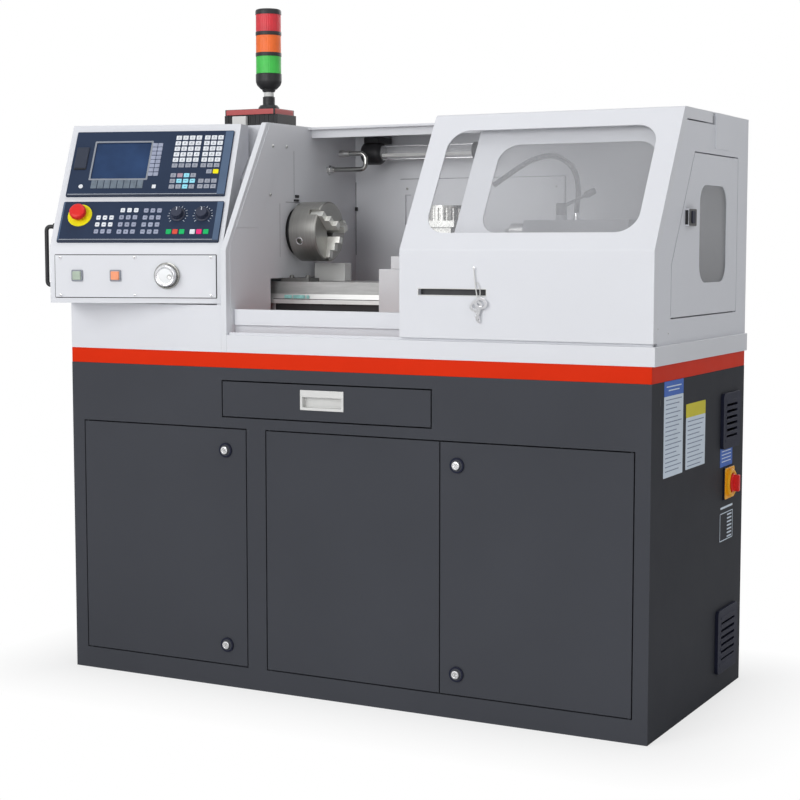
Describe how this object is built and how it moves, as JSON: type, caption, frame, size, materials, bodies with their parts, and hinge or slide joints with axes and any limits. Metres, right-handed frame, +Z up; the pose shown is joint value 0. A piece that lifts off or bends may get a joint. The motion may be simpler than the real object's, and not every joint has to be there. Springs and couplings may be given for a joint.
{
  "type": "cnc turning lathe",
  "caption": "Enclosed turning lathe on a sheet steel cabinet, with sliding guard door, chuck, tool turret, tailstock, operator panel, signal tower and tool drawer.",
  "frame": {"origin": "on the floor, under the middle of the cabinet", "axes": "+X along the spindle to the machine's right, +Y from the front to the back, +Z up"},
  "size_m": [1.5769, 0.7675, 1.625],
  "materials": {
    "cabinet_paint": "fine textured powder coat",
    "rim_paint": "smooth gloss coat",
    "enclosure_paint": "smooth satin coat",
    "glazing": "clear polycarbonate sheet",
    "panel_plastic": "fine textured overlay",
    "black_plastic": "fine textured moulding",
    "light_plastic": "smooth moulding",
    "red_lens": "ribbed translucent lens",
    "amber_lens": "ribbed translucent lens",
    "green_lens": "ribbed translucent lens",
    "red_plastic": "smooth moulding",
    "green_button": "smooth moulding",
    "orange_button": "smooth moulding",
    "machined_steel": "turned and ground",
    "dark_steel": "blackened",
    "bright_chrome": "polished",
    "cast_grey": "machined and painted casting",
    "lamp_tube": "clear tube",
    "device_plastic": "moulded device cases",
    "tank_steel": "satin coat"
  },
  "bodies": {
    "machine": {"cabinet_wrap": "cabinet_paint", "cabinet_front_frame": "cabinet_paint", "cabinet_base_frame": "cabinet_paint", "chip_tray": "rim_paint", "enclosure_sill": "enclosure_paint", "enclosure_left_wall": "enclosure_paint", "enclosure_right_wall": "enclosure_paint", "enclosure_rear_wall": "enclosure_paint", "fixed_front_panel": "enclosure_paint", "fixed_window": "glazing", "headstock_cover": "enclosure_paint", "signal_tower_body": "black_plastic", "signal_lens_green": "green_lens", "signal_lens_amber": "amber_lens", "signal_lens_red": "red_lens", "junction_box": "black_plastic", "bed": "cast_grey", "headstock": "cast_grey", "work_lamp": "lamp_tube", "coolant_nozzle": "bright_chrome", "cabinet_side_plates": "black_plastic", "electrical_panel": "device_plastic", "coolant_tank": "tank_steel"},
    "left_door": {"left_cabinet_door": "cabinet_paint"},
    "centre_door": {"centre_cabinet_door": "cabinet_paint"},
    "right_door": {"right_cabinet_door": "cabinet_paint"},
    "left_lower_lock": {"left_door_lower_lock": "bright_chrome"},
    "left_upper_lock": {"left_door_upper_lock": "bright_chrome"},
    "right_lower_lock": {"right_door_lower_lock": "bright_chrome"},
    "right_upper_lock": {"right_door_upper_lock": "bright_chrome"},
    "drawer_body": {"drawer": "cabinet_paint", "drawer_pull": "light_plastic"},
    "sliding_door_body": {"sliding_door": "enclosure_paint", "sliding_door_window": "glazing", "door_keys": "bright_chrome"},
    "side_door_body": {"side_door": "enclosure_paint", "side_door_window": "glazing"},
    "spindle_body": {"spindle": "dark_steel", "chuck_body": "machined_steel"},
    "jaw_1": {"chuck_jaw_1": "machined_steel"},
    "jaw_2": {"chuck_jaw_2": "machined_steel"},
    "jaw_3": {"chuck_jaw_3": "machined_steel"},
    "carriage_body": {"carriage": "cast_grey"},
    "cross_slide_body": {"cross_slide": "cast_grey"},
    "turret_body": {"tool_turret": "machined_steel"},
    "tailstock_body": {"tailstock": "cast_grey", "coolant_gooseneck": "black_plastic"},
    "quill_body": {"tailstock_quill": "machined_steel"},
    "lever_body": {"tailstock_lever": "dark_steel"},
    "control_box_body": {"control_box": "enclosure_paint", "operator_panels": "panel_plastic", "button_plate": "enclosure_paint", "control_box_handle": "black_plastic"},
    "stop_body": {"emergency_stop": "red_plastic"},
    "feed_knob_body": {"feed_knob": "black_plastic"},
    "speed_knob_body": {"speed_knob": "black_plastic"},
    "start_button_body": {"start_button": "green_button"},
    "stop_button_body": {"stop_button": "orange_button"},
    "handwheel_body": {"jog_handwheel": "bright_chrome"},
    "main_switch_body": {"main_switch_knob": "red_plastic"}
  },
  "joints": [
    {"name": "sliding_door_slide", "type": "slide", "parent": "machine", "child": "sliding_door_body", "axis": [-1, 0, 0], "range_m": [0, 0.455]},
    {"name": "side_door_hinge", "type": "hinge", "parent": "machine", "child": "side_door_body", "pos_m": [0.744, 0.24, 1.069], "axis": [0, 0, 1], "range_deg": [0, 100]},
    {"name": "left_door_hinge", "type": "hinge", "parent": "machine", "child": "left_door", "pos_m": [-0.706, -0.319, 0.335], "axis": [0, 0, -1], "range_deg": [0, 110]},
    {"name": "centre_door_hinge", "type": "hinge", "parent": "machine", "child": "centre_door", "pos_m": [-0.181, -0.319, 0.335], "axis": [0, 0, -1], "range_deg": [0, 110]},
    {"name": "right_door_hinge", "type": "hinge", "parent": "machine", "child": "right_door", "pos_m": [0.707, -0.319, 0.335], "axis": [0, 0, 1], "range_deg": [0, 110]},
    {"name": "left_lower_lock_turn", "type": "hinge", "parent": "left_door", "child": "left_lower_lock", "pos_m": [-0.299, -0.325, 0.101], "axis": [0, 1, 0], "range_deg": [0, 90]},
    {"name": "left_upper_lock_turn", "type": "hinge", "parent": "left_door", "child": "left_upper_lock", "pos_m": [-0.299, -0.325, 0.566], "axis": [0, -1, 0], "range_deg": [0, 90]},
    {"name": "right_lower_lock_turn", "type": "hinge", "parent": "right_door", "child": "right_lower_lock", "pos_m": [0.3055, -0.325, 0.101], "axis": [0, -1, 0], "range_deg": [0, 90]},
    {"name": "right_upper_lock_turn", "type": "hinge", "parent": "right_door", "child": "right_upper_lock", "pos_m": [0.3055, -0.325, 0.566], "axis": [0, 1, 0], "range_deg": [0, 90]},
    {"name": "drawer_slide", "type": "slide", "parent": "machine", "child": "drawer_body", "axis": [0, -1, 0], "range_m": [0, 0.25]},
    {"name": "spindle_turn", "type": "hinge", "parent": "machine", "child": "spindle_body", "pos_m": [-0.28, 0, 1.079], "axis": [1, 0, 0], "continuous": true},
    {"name": "jaw_1_slide", "type": "slide", "parent": "spindle_body", "child": "jaw_1", "axis": [0, -0.7547, 0.6561], "range_m": [-0.006, 0.012]},
    {"name": "jaw_2_slide", "type": "slide", "parent": "spindle_body", "child": "jaw_2", "axis": [0, -0.1908, -0.9816], "range_m": [-0.006, 0.012]},
    {"name": "jaw_3_slide", "type": "slide", "parent": "spindle_body", "child": "jaw_3", "axis": [0, 0.9455, 0.3256], "range_m": [-0.006, 0.012]},
    {"name": "carriage_slide", "type": "slide", "parent": "machine", "child": "carriage_body", "axis": [-1, 0, 0], "range_m": [0, 0.17]},
    {"name": "cross_slide_slide", "type": "slide", "parent": "carriage_body", "child": "cross_slide_body", "axis": [0, -1, 0], "range_m": [-0.06, 0.06]},
    {"name": "turret_index", "type": "hinge", "parent": "cross_slide_body", "child": "turret_body", "pos_m": [0.112, 0, 1.07], "axis": [0, 0, 1], "continuous": true},
    {"name": "tailstock_slide", "type": "slide", "parent": "machine", "child": "tailstock_body", "axis": [1, 0, 0], "range_m": [-0.04, 0.11]},
    {"name": "quill_slide", "type": "slide", "parent": "tailstock_body", "child": "quill_body", "axis": [-1, 0, 0], "range_m": [0, 0.06]},
    {"name": "clamp_lever_turn", "type": "hinge", "parent": "tailstock_body", "child": "lever_body", "pos_m": [0.411, 0, 1.13], "axis": [0, 0, -1], "range_deg": [0, 90]},
    {"name": "control_box_swing", "type": "hinge", "parent": "machine", "child": "control_box_body", "pos_m": [-0.323, -0.306, 1], "axis": [0, 0, 1], "range_deg": [-18, 40]},
    {"name": "emergency_stop_press", "type": "slide", "parent": "control_box_body", "child": "stop_body", "axis": [-0.2654, 0.8167, -0.5124], "range_m": [0, 0.005], "stiffness_N_per_m": 600},
    {"name": "feed_knob_turn", "type": "hinge", "parent": "control_box_body", "child": "feed_knob_body", "pos_m": [-0.43924, -0.30746, 1.11427], "axis": [0.2654, -0.8167, 0.5124], "range_deg": [-135, 135]},
    {"name": "speed_knob_turn", "type": "hinge", "parent": "control_box_body", "child": "speed_knob_body", "pos_m": [-0.38122, -0.28861, 1.11427], "axis": [0.2654, -0.8167, 0.5124], "range_deg": [-135, 135]},
    {"name": "start_button_press", "type": "slide", "parent": "control_box_body", "child": "start_button_body", "axis": [-0.309, 0.9511, 0], "range_m": [0, 0.003], "stiffness_N_per_m": 300},
    {"name": "stop_button_press", "type": "slide", "parent": "control_box_body", "child": "stop_button_body", "axis": [-0.309, 0.9511, 0], "range_m": [0, 0.003], "stiffness_N_per_m": 300},
    {"name": "handwheel_turn", "type": "hinge", "parent": "control_box_body", "child": "handwheel_body", "pos_m": [-0.43851, -0.35825, 0.974], "axis": [0.309, -0.9511, 0], "continuous": true},
    {"name": "main_switch_turn", "type": "hinge", "parent": "machine", "child": "main_switch_body", "pos_m": [0.76, 0.2075, 0.4925], "axis": [1, 0, 0], "range_deg": [0, 90]}
  ],
  "couplings": [
    {"joint": "jaw_2_slide", "follows": "jaw_1_slide", "ratio": 1},
    {"joint": "jaw_3_slide", "follows": "jaw_1_slide", "ratio": 1}
  ]
}
